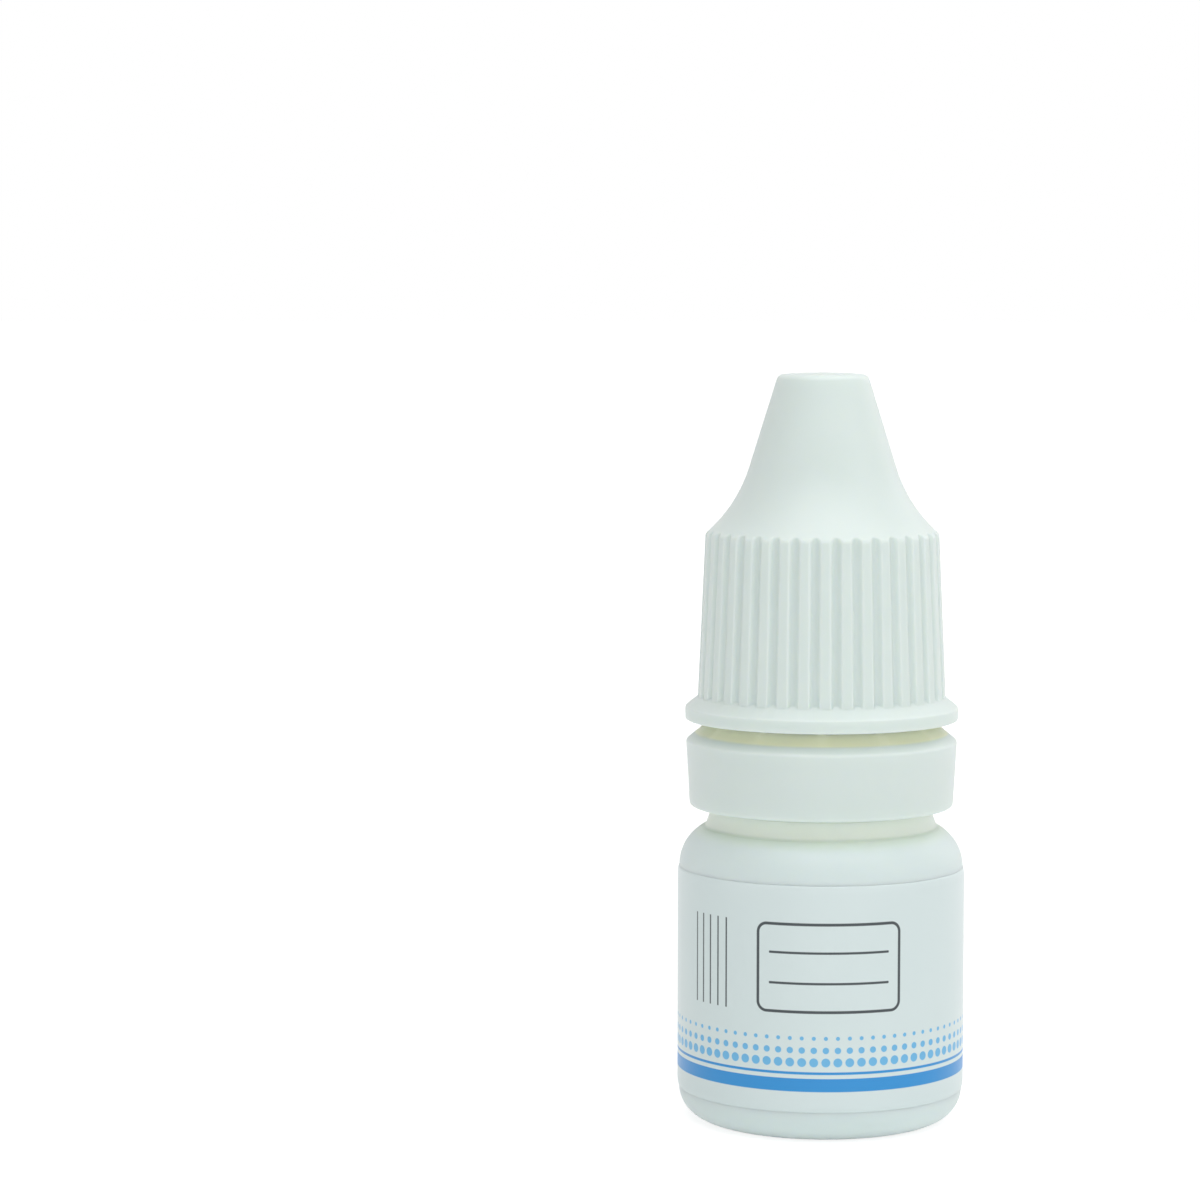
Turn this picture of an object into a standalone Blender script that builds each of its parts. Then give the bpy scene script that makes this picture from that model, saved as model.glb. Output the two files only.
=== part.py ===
"""Eye drop bottle: squeeze bottle, plug-in dropper nozzle, fluted screw cap, tamper ring and label.

Metres, Z up. The bottle stands on the origin, and every piece is turned about the Z axis, which is
also the axis on which the cap unscrews and lifts off. The front of the bottle faces -Y.
"""

import math

import bmesh
import bpy
from mathutils import Matrix

MM = 0.001

# Bottle body
BODY_RADIUS = 10.88 * MM
BODY_WALL = 0.9 * MM
BODY_STRAIGHT = 17.15 * MM
BASE_CORNER = 2.45 * MM
STANDING_LAND = 0.9 * MM
PUSH_UP = 0.9 * MM
SHOULDER_DROP = 3.45 * MM

# Bottle neck
NECK_BORE = 5.2 * MM
NECK_WALL = 1.6 * MM
NECK_THREAD_LENGTH = 8.3 * MM
NECK_ROOT_FILLET = 0.4 * MM
NECK_LIP_ROUND = 0.3 * MM
BEAD_LAND = 0.5 * MM
BEAD_RAMP = 1.3 * MM
BEAD_CLEARANCE = 0.7 * MM

# Gap between faces that meet, and the room that the threads take between neck and cap
FIT_GAP = 0.1 * MM
THREAD_ROOM = 1.1 * MM

# Tamper ring
RING_FLOAT = 1.15 * MM
RING_HEIGHT = 5.2 * MM
RING_WALL = 1.0 * MM
RING_DRAFT = math.radians(2.9)
RING_SETBACK = 0.07 * MM
RING_EDGE = 0.3 * MM
RING_PLAY = 0.4 * MM
SNAP_LIP_HEIGHT = 0.8 * MM
SNAP_LIP_RAMP = 0.3 * MM
SNAP_OVERLAP = 0.7 * MM
WEB_ANGLE = math.radians(39)
WEB_THICKNESS = 0.8 * MM
WEB_SETBACK = 0.5 * MM

# Breakable bridges that stand on the ring's web
BRIDGE_COUNT = 12
BRIDGE_HEIGHT = 0.15 * MM
BRIDGE_WIDTH = 0.5 * MM
BRIDGE_DEPTH = 0.3 * MM
BRIDGE_SETBACK = 0.05 * MM

# Screw cap, outside
CAP_HEIGHT = 26.5 * MM
CROWN_RISE = 0.1 * MM
CROWN_RADIUS = 3.41 * MM
CROWN_ROUND = 0.6 * MM
CONE_ANGLE = math.radians(17.2)
FLARE_RADIUS = 11.0 * MM
FLARE_ANGLE = math.radians(48)
SKIRT_CORNER = 0.57 * MM
SKIRT_WALL = 1.04 * MM
SKIRT_DRAFT = math.radians(2.55)
FLANGE_OVERHANG = 0.88 * MM
FLANGE_HEIGHT = 1.05 * MM
FLANGE_TAPER = 0.1 * MM
FLANGE_SLOPE = math.radians(38)
FLANGE_EDGE = 0.15 * MM
FLANGE_ROOT = 0.45 * MM

# Screw cap, grooves between the ribs
RIB_COUNT = 36
RIB_PHASE = math.radians(-3.2)
GROOVE_RADIUS = 0.42 * MM
GROOVE_DEPTH = 0.3 * MM
GROOVE_OVERRUN = 1.5 * MM

# Screw cap, inside
CONE_WALL = 1.2 * MM
MOUTH_STEP = 0.3 * MM
MOUTH_DEPTH = 0.6 * MM
SEAT_WIDTH = 2.1 * MM
PIN_RADIUS = 0.9 * MM
PIN_END_RADIUS = 0.6 * MM

# Dropper nozzle
STEM_LENGTH = 5.6 * MM
STEM_WALL = 1.0 * MM
STEM_CHAMFER = 0.5 * MM
STEM_BEAD_COUNT = 2
STEM_BEAD = 0.2 * MM
STEM_BEAD_HEIGHT = 0.7 * MM
PLUG_FLANGE = 1.0 * MM
PLUG_INSET = 0.1 * MM
SPOUT_HEIGHT = 11.2 * MM
SPOUT_FOOT_RADIUS = 4.2 * MM
SPOUT_FOOT_FILLET = 0.9 * MM
SPOUT_TIP_RADIUS = 1.7 * MM
SPOUT_TIP_ROUND = 0.5 * MM
SPOUT_WALL = 0.9 * MM
DRIP_CUP_RADIUS = 0.95 * MM
DRIP_CUP_DEPTH = 0.5 * MM
ORIFICE_RADIUS = 0.35 * MM
ORIFICE_LENGTH = 1.2 * MM

# Label
LABEL_THICKNESS = 0.08 * MM
LABEL_GAP = 0.04 * MM
LABEL_MARGIN = 0.05 * MM

# Facets round each turned piece, and the distance within which its points are one
BODY_STEPS = 64
LABEL_STEPS = 60
CAP_STEPS = 72
NOZZLE_STEPS = 32
GROOVE_STEPS = 10
WELD = 0.001 * MM

# Directions, in radians from +X
QUARTER = math.pi / 2
FRONT = -QUARTER
BACK = QUARTER

# Bottle places
NECK_RADIUS = NECK_BORE + NECK_WALL
SHOULDER_START = BASE_CORNER + BODY_STRAIGHT
SHOULDER_TOP = SHOULDER_START + SHOULDER_DROP
LAND_INNER = BODY_RADIUS - BASE_CORNER - STANDING_LAND

# Cap places, measured from the cap's lower face
CAP_BORE = NECK_RADIUS + THREAD_ROOM
MOUTH_RADIUS = CAP_BORE + MOUTH_STEP
CAVITY_RADIUS = CAP_BORE - SEAT_WIDTH
CROWN_EDGE = CAP_HEIGHT - CROWN_RISE
SKIRT_RADIUS = CAP_BORE + SKIRT_WALL
CORNER_REACH = SKIRT_CORNER * (math.cos(SKIRT_DRAFT) - math.cos(FLARE_ANGLE))
CORNER_FALL = SKIRT_CORNER * (math.sin(FLARE_ANGLE) - math.sin(SKIRT_DRAFT))
FLARE_REACH = FLARE_RADIUS * (math.cos(CONE_ANGLE) - math.cos(FLARE_ANGLE))
FLARE_FALL = FLARE_RADIUS * (math.sin(FLARE_ANGLE) - math.sin(CONE_ANGLE))
CONE_FOOT_RADIUS = SKIRT_RADIUS - CORNER_REACH - FLARE_REACH
CONE_FOOT = CROWN_EDGE - (CONE_FOOT_RADIUS - CROWN_RADIUS) / math.tan(CONE_ANGLE)
SKIRT_TOP = CONE_FOOT - FLARE_FALL - CORNER_FALL
SKIRT_FOOT_RADIUS = SKIRT_RADIUS + SKIRT_TOP * math.tan(SKIRT_DRAFT)
FLANGE_RADIUS = SKIRT_FOOT_RADIUS + FLANGE_OVERHANG

# Ring places, measured from the ring's lower edge
RING_RADIUS = FLANGE_RADIUS - RING_SETBACK
RING_FOOT_RADIUS = RING_RADIUS - RING_HEIGHT * math.tan(RING_DRAFT)
RING_BORE = RING_FOOT_RADIUS - RING_WALL
WEB_RADIUS = MOUTH_RADIUS + WEB_SETBACK
WEB_FOOT_RADIUS = RING_RADIUS - RING_EDGE + RING_EDGE * math.sin(WEB_ANGLE)
WEB_FOOT = RING_HEIGHT - RING_EDGE + RING_EDGE * math.cos(WEB_ANGLE)
BEAD_RADIUS = RING_BORE - BEAD_CLEARANCE
SNAP_LIP_RADIUS = BEAD_RADIUS - SNAP_OVERLAP

# Nozzle radii
STEM_BEAD_RADIUS = NECK_BORE - FIT_GAP
STEM_RADIUS = STEM_BEAD_RADIUS - STEM_BEAD
STEM_BORE = STEM_RADIUS - STEM_WALL


def web_height(radius):
    """Height of the top of the ring's conical web at a radius, above the ring's lower edge."""
    return WEB_FOOT + (WEB_FOOT_RADIUS - radius) * math.tan(WEB_ANGLE)


# Heights above the ground at which the pieces sit
RING_BOTTOM = SHOULDER_TOP + RING_FLOAT
BEAD_BOTTOM = RING_BOTTOM + SNAP_LIP_HEIGHT + RING_PLAY
CAP_BOTTOM = RING_BOTTOM + web_height(WEB_RADIUS) + BRIDGE_HEIGHT + FIT_GAP
NECK_TOP = CAP_BOTTOM + NECK_THREAD_LENGTH
PLUG_SEAT = NECK_TOP + FIT_GAP
DRIP_CUP = PLUG_FLANGE + SPOUT_HEIGHT - DRIP_CUP_DEPTH
CAP_SEAT = PLUG_SEAT + PLUG_FLANGE + FIT_GAP - CAP_BOTTOM
PIN_END = PLUG_SEAT + DRIP_CUP + FIT_GAP - CAP_BOTTOM


def clear_scene():
    """Remove every object, so that the script can be run again in the same file."""
    for item in list(bpy.data.objects):
        bpy.data.objects.remove(item, do_unlink=True)


def new_collection(name):
    """Make a collection and link it to the scene."""
    group = bpy.data.collections.new(name)
    bpy.context.scene.collection.children.link(group)
    return group


def plastic(name, colour, roughness):
    """Make a material of a moulded plastic or a film, with its colour in linear values."""
    finish = bpy.data.materials.new(name)
    finish.use_nodes = True
    shader = finish.node_tree.nodes["Principled BSDF"]
    shader.inputs["Base Color"].default_value = (*colour, 1.0)
    shader.inputs["Roughness"].default_value = roughness
    shader.inputs["Metallic"].default_value = 0.0
    return finish


def arc(centre, radii, start, end, steps):
    """Points (radius, height) along part of an ellipse, from one angle to another."""
    points = []
    for step in range(steps + 1):
        angle = start + (end - start) * step / steps
        points.append((centre[0] + radii[0] * math.cos(angle), centre[1] + radii[1] * math.sin(angle)))
    return points


def round_arc(centre, radius, start, end, steps):
    """Points along part of a circle."""
    return arc(centre, (radius, radius), start, end, steps)


def dome(reach, rise, height, steps):
    """Points along a shallow dome, from its edge at a height in to its middle on the axis."""
    radius = (reach * reach + rise * rise) / (rise + rise)
    spread = math.asin(reach / radius)
    return round_arc((0, height + rise - radius), radius, QUARTER - spread, QUARTER, steps)


def without_repeats(points):
    """Drop each point that lies on the one before it."""
    kept = [points[0]]
    for point in points[1:]:
        if math.dist(point, kept[-1]) > WELD:
            kept.append(point)
    return kept


def turned(name, points, steps, group):
    """Turn a profile of (radius, height) points about Z. The profile runs down its outer side."""
    mesh = bpy.data.meshes.new(name)
    shape = bmesh.new()
    verts = [shape.verts.new((radius, 0, height)) for radius, height in without_repeats(points)]
    for first, second in zip(verts, verts[1:]):
        shape.edges.new((first, second))
    shape.to_mesh(mesh)
    shape.free()
    item = bpy.data.objects.new(name, mesh)
    group.objects.link(item)
    screw = item.modifiers.new("turn", "SCREW")
    screw.axis = "Z"
    screw.angle = math.tau
    screw.steps = steps
    screw.render_steps = steps
    screw.use_merge_vertices = True
    screw.merge_threshold = WELD
    screw.use_smooth_shade = True
    return item


def combine(item, tool, operation):
    """Cut a tool out of a piece, or join it on. The tool itself is not a piece."""
    tool.hide_render = True
    tool.display_type = "WIRE"
    tool.location = item.location
    tool.rotation_euler = item.rotation_euler
    change = item.modifiers.new(tool.name, "BOOLEAN")
    change.operation = operation
    change.solver = "EXACT"
    change.object = tool


def bottle_inside():
    """Profile of the bottle's inside, from the middle of the floor up to the neck's mouth."""
    points = dome(LAND_INNER, PUSH_UP, BODY_WALL, 3)[::-1]
    corner = (BODY_RADIUS - BASE_CORNER, BASE_CORNER)
    points += round_arc(corner, BASE_CORNER - BODY_WALL, -QUARTER, 0, 4)
    shoulder = (NECK_BORE, SHOULDER_START)
    reach = BODY_RADIUS - BODY_WALL - NECK_BORE
    points += arc(shoulder, (reach, SHOULDER_DROP - BODY_WALL), 0, QUARTER, 5)
    points.append((NECK_BORE, NECK_TOP - NECK_LIP_ROUND))
    points.append((NECK_BORE + NECK_LIP_ROUND, NECK_TOP))
    return points


def bottle_outside():
    """Profile of the bottle's outside, from the neck's lip down to the middle of the base."""
    lip = (NECK_RADIUS - NECK_LIP_ROUND, NECK_TOP - NECK_LIP_ROUND)
    points = round_arc(lip, NECK_LIP_ROUND, QUARTER, 0, 2)
    points.append((NECK_RADIUS, BEAD_BOTTOM + BEAD_LAND + BEAD_RAMP))
    points.append((BEAD_RADIUS, BEAD_BOTTOM + BEAD_LAND))
    points.append((BEAD_RADIUS, BEAD_BOTTOM))
    points.append((NECK_RADIUS, BEAD_BOTTOM))
    root = (NECK_RADIUS + NECK_ROOT_FILLET, SHOULDER_TOP + NECK_ROOT_FILLET)
    points += round_arc(root, NECK_ROOT_FILLET, math.pi, math.pi + QUARTER, 2)
    shoulder = (NECK_RADIUS + NECK_ROOT_FILLET, SHOULDER_START)
    reach = BODY_RADIUS - shoulder[0]
    points += arc(shoulder, (reach, SHOULDER_DROP), QUARTER, 0, 8)
    corner = (BODY_RADIUS - BASE_CORNER, BASE_CORNER)
    points += round_arc(corner, BASE_CORNER, 0, -QUARTER, 6)
    return points + dome(LAND_INNER, PUSH_UP, 0, 3)


def build_bottle(group, finish):
    """Blow-moulded squeeze bottle: one shell with its neck, open at the mouth."""
    item = turned("bottle_body", bottle_inside() + bottle_outside(), BODY_STEPS, group)
    item.data.materials.append(finish)


def nozzle_profile():
    """Profile of the nozzle, from the orifice over the spout, flange and stem, and up its bore."""
    spout_top = DRIP_CUP + DRIP_CUP_DEPTH
    points = [(ORIFICE_RADIUS, DRIP_CUP)]
    points.append((DRIP_CUP_RADIUS, spout_top))
    tip = (SPOUT_TIP_RADIUS - SPOUT_TIP_ROUND, spout_top - SPOUT_TIP_ROUND)
    points += round_arc(tip, SPOUT_TIP_ROUND, QUARTER, 0, 3)
    foot = (SPOUT_FOOT_RADIUS + SPOUT_FOOT_FILLET, PLUG_FLANGE + SPOUT_FOOT_FILLET)
    points += round_arc(foot, SPOUT_FOOT_FILLET, math.pi, math.pi + QUARTER, 3)
    points.append((NECK_RADIUS - PLUG_INSET, PLUG_FLANGE))
    points.append((NECK_RADIUS - PLUG_INSET, 0))
    points.append((STEM_RADIUS, 0))
    pitch = (STEM_LENGTH - STEM_CHAMFER) / (STEM_BEAD_COUNT + 1)
    for number in range(1, STEM_BEAD_COUNT + 1):
        points.append((STEM_RADIUS, STEM_BEAD_HEIGHT / 2 - pitch * number))
        points.append((STEM_BEAD_RADIUS, -pitch * number))
        points.append((STEM_RADIUS, -STEM_BEAD_HEIGHT / 2 - pitch * number))
    points.append((STEM_RADIUS, STEM_CHAMFER - STEM_LENGTH))
    points.append((STEM_RADIUS - STEM_CHAMFER, -STEM_LENGTH))
    points.append((STEM_BORE, -STEM_LENGTH))
    points.append((STEM_BORE, 0))
    points.append((SPOUT_FOOT_RADIUS - SPOUT_WALL, PLUG_FLANGE))
    points.append((ORIFICE_RADIUS, DRIP_CUP - ORIFICE_LENGTH))
    points.append(points[0])
    return points


def build_nozzle(group, finish):
    """Plug-in dropper: stem with sealing beads, flange, conical spout and drip orifice."""
    item = turned("dropper_nozzle", nozzle_profile(), NOZZLE_STEPS, group)
    item.location = (0, 0, PLUG_SEAT)
    item.data.materials.append(finish)


def cap_outside():
    """Profile of the cap's outside, from the crown down the cone and flare to the skirt's foot."""
    round_radius = CROWN_RADIUS - CROWN_ROUND * (1 - math.sin(CONE_ANGLE)) / math.cos(CONE_ANGLE)
    points = dome(round_radius, CROWN_RISE, CROWN_EDGE, 2)[::-1]
    crown = (round_radius, CROWN_EDGE - CROWN_ROUND)
    points += round_arc(crown, CROWN_ROUND, QUARTER, CONE_ANGLE, 4)
    flare = (CONE_FOOT_RADIUS + FLARE_RADIUS * math.cos(CONE_ANGLE),
             CONE_FOOT + FLARE_RADIUS * math.sin(CONE_ANGLE))
    points += round_arc(flare, FLARE_RADIUS, math.pi + CONE_ANGLE, math.pi + FLARE_ANGLE, 6)
    corner = (SKIRT_RADIUS - SKIRT_CORNER * math.cos(SKIRT_DRAFT),
              SKIRT_TOP - SKIRT_CORNER * math.sin(SKIRT_DRAFT))
    points += round_arc(corner, SKIRT_CORNER, FLARE_ANGLE, SKIRT_DRAFT, 3)
    foot = SKIRT_FOOT_RADIUS - MOUTH_DEPTH * math.tan(SKIRT_DRAFT)
    points.append((foot, MOUTH_DEPTH))
    return points


def cap_inside():
    """Profile of the cap's inside, from the mouth up the bore, seat and hollow cone to the pin."""
    side_wall = CONE_WALL / math.cos(CONE_ANGLE)
    ceiling = CROWN_EDGE - CONE_WALL
    ceiling_radius = CROWN_RADIUS + CONE_WALL * math.tan(CONE_ANGLE) - side_wall
    hollow = CROWN_EDGE - (CAVITY_RADIUS + side_wall - CROWN_RADIUS) / math.tan(CONE_ANGLE)
    points = [(CAP_BORE, MOUTH_DEPTH)]
    points.append((CAP_BORE, CAP_SEAT))
    points.append((CAVITY_RADIUS, CAP_SEAT))
    points.append((CAVITY_RADIUS, hollow))
    points.append((ceiling_radius, ceiling))
    points.append((PIN_RADIUS, ceiling))
    points += round_arc((0, PIN_END + PIN_END_RADIUS), PIN_END_RADIUS, 0, -QUARTER, 3)
    return points


def flange_profile():
    """Profile of the flange at the cap's foot. Its sloped top runs on into the skirt's wall."""
    top_radius = FLANGE_RADIUS - FLANGE_TAPER
    root_radius = SKIRT_FOOT_RADIUS - GROOVE_DEPTH - FLANGE_ROOT
    points = [(root_radius, FLANGE_HEIGHT + (top_radius - root_radius) * math.tan(FLANGE_SLOPE))]
    points.append((top_radius, FLANGE_HEIGHT))
    points.append((FLANGE_RADIUS, FLANGE_EDGE))
    points.append((FLANGE_RADIUS - FLANGE_EDGE, 0))
    points.append((MOUTH_RADIUS, 0))
    points.append((MOUTH_RADIUS, FLANGE_HEIGHT))
    points.append(points[0])
    return points


def groove_cutters(group):
    """Round bars that follow the skirt's taper, one for each groove between two ribs."""
    bottom = -GROOVE_OVERRUN
    top = SKIRT_TOP + GROOVE_OVERRUN
    middle = (bottom + top) / 2
    wall = SKIRT_RADIUS + (SKIRT_TOP - middle) * math.tan(SKIRT_DRAFT)
    place = Matrix.Translation((wall - GROOVE_DEPTH + GROOVE_RADIUS, 0, middle))
    lean = Matrix.Rotation(-SKIRT_DRAFT, 4, "Y")
    shape = bmesh.new()
    for number in range(RIB_COUNT):
        turn = Matrix.Rotation(FRONT + math.tau * number / RIB_COUNT, 4, "Z")
        bmesh.ops.create_cone(
            shape, cap_ends=True, segments=GROOVE_STEPS, radius1=GROOVE_RADIUS,
            radius2=GROOVE_RADIUS, depth=top - bottom, matrix=turn @ place @ lean)
    mesh = bpy.data.meshes.new("groove_bars")
    shape.to_mesh(mesh)
    shape.free()
    item = bpy.data.objects.new("groove_bars", mesh)
    group.objects.link(item)
    return item


def build_cap(group, tools, finish):
    """Fluted screw cap: hollow cone and skirt, cut by the grooves and joined to its flange."""
    item = turned("screw_cap", cap_outside() + cap_inside(), CAP_STEPS, group)
    item.location = (0, 0, CAP_BOTTOM)
    item.rotation_euler = (0, 0, RIB_PHASE)
    item.data.materials.append(finish)
    combine(item, groove_cutters(tools), "DIFFERENCE")
    combine(item, turned("cap_flange", flange_profile(), CAP_STEPS, tools), "UNION")


def ring_profile():
    """Profile of the tamper ring: conical web, tapered band and the snap lip under the bead."""
    top = (RING_RADIUS - RING_EDGE, RING_HEIGHT - RING_EDGE)
    foot = (RING_FOOT_RADIUS - RING_EDGE, RING_EDGE)
    points = [(WEB_RADIUS, web_height(WEB_RADIUS))]
    points += round_arc(top, RING_EDGE, QUARTER - WEB_ANGLE, 0, 2)
    points += round_arc(foot, RING_EDGE, 0, -QUARTER, 2)
    points.append((SNAP_LIP_RADIUS, 0))
    points.append((SNAP_LIP_RADIUS, SNAP_LIP_HEIGHT))
    points.append((RING_BORE, SNAP_LIP_HEIGHT + SNAP_LIP_RAMP))
    points.append((RING_BORE, web_height(RING_BORE) - WEB_THICKNESS))
    points.append((WEB_RADIUS, web_height(WEB_RADIUS) - WEB_THICKNESS))
    points.append(points[0])
    return points


def bridge_posts(group):
    """Small posts on the web, up to just under the cap, that break when the cap is first turned."""
    radius = WEB_RADIUS + BRIDGE_SETBACK + BRIDGE_DEPTH / 2
    bottom = web_height(radius) - WEB_THICKNESS / 2
    top = web_height(WEB_RADIUS) + BRIDGE_HEIGHT
    place = Matrix.Translation((radius, 0, (bottom + top) / 2))
    size = Matrix.Diagonal((BRIDGE_DEPTH, BRIDGE_WIDTH, top - bottom, 1))
    shape = bmesh.new()
    for number in range(BRIDGE_COUNT):
        turn = Matrix.Rotation(math.tau * number / BRIDGE_COUNT, 4, "Z")
        bmesh.ops.create_cube(shape, size=1, matrix=turn @ place @ size)
    mesh = bpy.data.meshes.new("bridge_posts")
    shape.to_mesh(mesh)
    shape.free()
    item = bpy.data.objects.new("bridge_posts", mesh)
    group.objects.link(item)
    return item


def build_ring(group, tools, finish):
    """Tamper ring: the band that stays on the neck, with the bridges that held it to the cap."""
    item = turned("tamper_ring", ring_profile(), BODY_STEPS, group)
    item.location = (0, 0, RING_BOTTOM)
    item.data.materials.append(finish)
    combine(item, bridge_posts(tools), "UNION")


def build_label(group, finish):
    """Film label: a sheet wrapped round the straight wall, with its two ends apart at the back."""
    bottom = BASE_CORNER + LABEL_MARGIN
    top = SHOULDER_START - LABEL_MARGIN
    radius = BODY_RADIUS + LABEL_GAP
    wrap = math.tau * LABEL_STEPS / BODY_STEPS
    turn = Matrix.Rotation(BACK + (math.tau - wrap) / 2, 3, "Z")
    shape = bmesh.new()
    low = shape.verts.new((radius, 0, bottom))
    high = shape.verts.new((radius, 0, top))
    edge = shape.edges.new((low, high))
    bmesh.ops.spin(
        shape, geom=[low, high, edge], cent=(0, 0, 0), axis=(0, 0, 1), angle=wrap,
        steps=LABEL_STEPS, use_duplicate=False)
    bmesh.ops.rotate(shape, verts=shape.verts, cent=(0, 0, 0), matrix=turn)
    shape.normal_update()
    for face in shape.faces:
        middle = face.calc_center_median()
        if face.normal.x * middle.x + face.normal.y * middle.y < 0:
            face.normal_flip()
    mesh = bpy.data.meshes.new("wrap_label")
    shape.to_mesh(mesh)
    shape.free()
    item = bpy.data.objects.new("wrap_label", mesh)
    group.objects.link(item)
    item.data.materials.append(finish)
    film = item.modifiers.new("film", "SOLIDIFY")
    film.thickness = LABEL_THICKNESS
    film.offset = 1


def main():
    """Build the five pieces of the bottle."""
    clear_scene()
    bottle = new_collection("eye_drop_bottle")
    tools = new_collection("tools")
    squeeze_plastic = plastic("squeeze_plastic", (0.78, 0.83, 0.80), 0.42)
    cap_plastic = plastic("cap_plastic", (0.80, 0.84, 0.81), 0.38)
    nozzle_plastic = plastic("nozzle_plastic", (0.80, 0.83, 0.80), 0.40)
    label_film = plastic("label_film", (0.78, 0.84, 0.84), 0.35)
    build_bottle(bottle, squeeze_plastic)
    build_nozzle(bottle, nozzle_plastic)
    build_ring(bottle, tools, cap_plastic)
    build_cap(bottle, tools, cap_plastic)
    build_label(bottle, label_film)


if __name__ == "__main__":
    main()
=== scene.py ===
"""A small eye drop bottle with a fluted screw cap, dressed and lit for its studio picture.

Lengths are in metres and +Z is up. Every piece is turned about the Z axis, on which the cap
unscrews and lifts off, and the front of the label faces -Y.
"""

import logging
import math
from collections.abc import Sequence
from dataclasses import dataclass, replace
from enum import Enum

import bmesh
import bpy
from mathutils import Matrix, Vector


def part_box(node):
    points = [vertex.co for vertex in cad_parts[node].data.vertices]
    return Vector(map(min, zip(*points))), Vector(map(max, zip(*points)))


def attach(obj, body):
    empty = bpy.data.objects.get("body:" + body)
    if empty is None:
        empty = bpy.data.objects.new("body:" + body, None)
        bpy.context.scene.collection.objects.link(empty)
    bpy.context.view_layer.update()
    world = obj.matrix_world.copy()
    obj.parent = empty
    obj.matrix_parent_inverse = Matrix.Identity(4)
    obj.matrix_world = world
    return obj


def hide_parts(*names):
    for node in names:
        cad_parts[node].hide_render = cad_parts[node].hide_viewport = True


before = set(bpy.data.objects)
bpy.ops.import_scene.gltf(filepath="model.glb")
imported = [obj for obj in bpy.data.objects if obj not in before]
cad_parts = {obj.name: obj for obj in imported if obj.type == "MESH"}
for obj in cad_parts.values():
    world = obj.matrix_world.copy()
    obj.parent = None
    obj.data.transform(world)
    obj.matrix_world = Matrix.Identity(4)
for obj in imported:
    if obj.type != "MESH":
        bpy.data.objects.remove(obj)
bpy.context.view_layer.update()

log = logging.getLogger("dropper_bottle")

MM = 0.001
QUARTER = math.pi / 2
FRONT = -QUARTER
BACK = QUARTER
WELD = 0.001 * MM
SLICES = 12
SOAK_SHARES = (1.0, 0.97, 0.85)  # blue light scatters soonest in polyethylene

Point = tuple[float, float]
Node = bpy.types.Node
Socket = bpy.types.NodeSocket
Tree = bpy.types.NodeTree
Inputs = dict[str | int, float | tuple[float, ...] | Socket | Node]


class Body(Enum):
    """The bodies that pieces ride on."""

    BOTTLE = "bottle"
    RING = "ring"
    CAP = "cap"


class Slot(Enum):
    """The record's material slots."""

    SQUEEZE = "squeeze_plastic"
    NOZZLE = "nozzle_plastic"
    CAP = "cap_plastic"
    LABEL = "label_film"


def linear(colour: str) -> tuple[float, float, float, float]:
    """Turn an sRGB colour into linear light.

    Args:
        colour: Six hex digits, such as "dfe9e5".

    Returns:
        Red, green, blue and an alpha of 1.
    """
    shades = [int(colour[place:place + 2], 16) / 255 for place in (0, 2, 4)]
    red, green, blue = (
        shade / 12.92 if shade <= 0.04045 else ((shade + 0.055) / 1.055) ** 2.4 for shade in shades)
    return red, green, blue, 1.0


def feed(tree: Tree, node: Node, inputs: Inputs) -> None:
    """Give a shader node its inputs.

    Args:
        tree: The node tree that holds the node.
        node: The node.
        inputs: Input name or number to its constant, or to the socket that feeds it. Another node
            stands for its first output in use.
    """
    for key, value in inputs.items():
        if isinstance(value, Node):
            value = next(socket for socket in value.outputs if socket.enabled)
        if isinstance(value, Socket):
            tree.links.new(value, node.inputs[key])
        else:
            node.inputs[key].default_value = value


def add_node(tree: Tree, kind: str, inputs: Inputs | None = None, **settings: object) -> Node:
    """Add a shader node with its settings and inputs.

    Args:
        tree: The node tree that gets the node.
        kind: The node's type name, without the ShaderNode that it starts with.
        inputs: Its inputs, as feed takes them.
        settings: The node's own properties.

    Returns:
        The new node.
    """
    made = tree.nodes.new(f"ShaderNode{kind}")
    for key, setting in settings.items():
        setattr(made, key, setting)
    feed(tree, made, inputs or {})
    return made


def arc(centre: Point, radii: Point, start: float, end: float, steps: int) -> list[Point]:
    """Points along part of an ellipse.

    Args:
        centre: Radius and height of its middle.
        radii: Its two half axes.
        start: Angle of the first point.
        end: Angle of the last point.
        steps: Number of spaces between points.

    Returns:
        The points as (radius, height).
    """
    points = []
    for step in range(steps + 1):
        angle = start + (end - start) * step / steps
        points.append((centre[0] + radii[0] * math.cos(angle),
                       centre[1] + radii[1] * math.sin(angle)))
    return points


def round_arc(centre: Point, radius: float, start: float, end: float, steps: int) -> list[Point]:
    """Points along part of a circle, as arc gives them."""
    return arc(centre, (radius, radius), start, end, steps)


def dome(reach: float, rise: float, height: float, steps: int) -> list[Point]:
    """Points along a shallow dome, from its edge in to its middle.

    Args:
        reach: Radius of its edge.
        rise: Height of its middle over its edge.
        height: Height of its edge.
        steps: Number of spaces between points.

    Returns:
        The points as (radius, height).
    """
    radius = (reach * reach + rise * rise) / (rise + rise)
    spread = math.asin(reach / radius)
    return round_arc((0, height + rise - radius), radius, QUARTER - spread, QUARTER, steps)


def along(first: Point, last: Point, steps: int) -> list[Point]:
    """Evenly spaced points on a straight line, with both its ends."""
    return [(first[0] + (last[0] - first[0]) * step / steps,
             first[1] + (last[1] - first[1]) * step / steps) for step in range(steps + 1)]


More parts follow.
